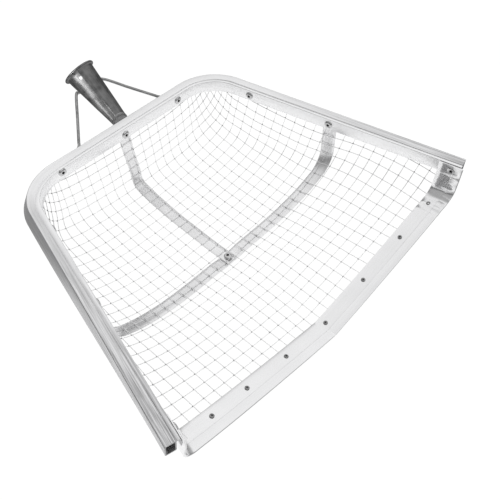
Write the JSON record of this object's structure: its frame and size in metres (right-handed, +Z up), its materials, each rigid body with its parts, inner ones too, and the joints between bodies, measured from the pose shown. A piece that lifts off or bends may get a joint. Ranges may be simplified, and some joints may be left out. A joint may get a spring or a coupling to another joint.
{
  "type": "leaf skimmer net",
  "caption": "Scoop-shaped pool leaf skimmer: U tube rim, wire mesh basket, folded vee front lip, bottom straps and an angled pole socket.",
  "frame": {"origin": "centre of the bounding box in plan, at the level of the lowest point", "axes": "+X across the scoop, +Y towards the pole socket at the rear (the open lip faces -Y), +Z up out of the basket"},
  "size_m": [0.4192, 0.3886, 0.1581],
  "materials": {
    "rim_aluminium": "satin, lengthwise drawing marks",
    "band_aluminium": "satin",
    "lip_aluminium": "smooth satin",
    "strap_aluminium": "satin, slightly scuffed",
    "galvanised_wire": "zinc-coated welded wire",
    "socket_steel": "dark zinc-grey steel sheet",
    "rod_steel": "dull drawn wire",
    "rivet_aluminium": "satin",
    "lip_rivet_steel": "dull"
  },
  "bodies": {
    "root": {"rim_tube": "rim_aluminium", "clamp_band": "band_aluminium", "mesh_basket": "galvanised_wire", "front_lip": "lip_aluminium", "cross_strap": "strap_aluminium", "long_strap": "strap_aluminium", "handle_socket": "socket_steel", "brace_rod": "rod_steel", "tee_rivet": "rivet_aluminium", "rim_rivet_rear_center": "rivet_aluminium", "rim_rivet_rear_right": "rivet_aluminium", "rim_rivet_rear_left": "rivet_aluminium", "rim_rivet_corner_right": "rivet_aluminium", "rim_rivet_corner_left": "rivet_aluminium", "rim_rivet_strap_right": "rivet_aluminium", "rim_rivet_strap_left": "rivet_aluminium", "rim_rivet_front_right": "rivet_aluminium", "rim_rivet_front_left": "rivet_aluminium", "lip_rivet_1": "lip_rivet_steel", "lip_rivet_2": "lip_rivet_steel", "lip_rivet_3": "lip_rivet_steel", "lip_rivet_4": "lip_rivet_steel", "lip_rivet_5": "lip_rivet_steel", "lip_rivet_6": "lip_rivet_steel", "lip_rivet_7": "lip_rivet_steel"}
  },
  "joints": []
}
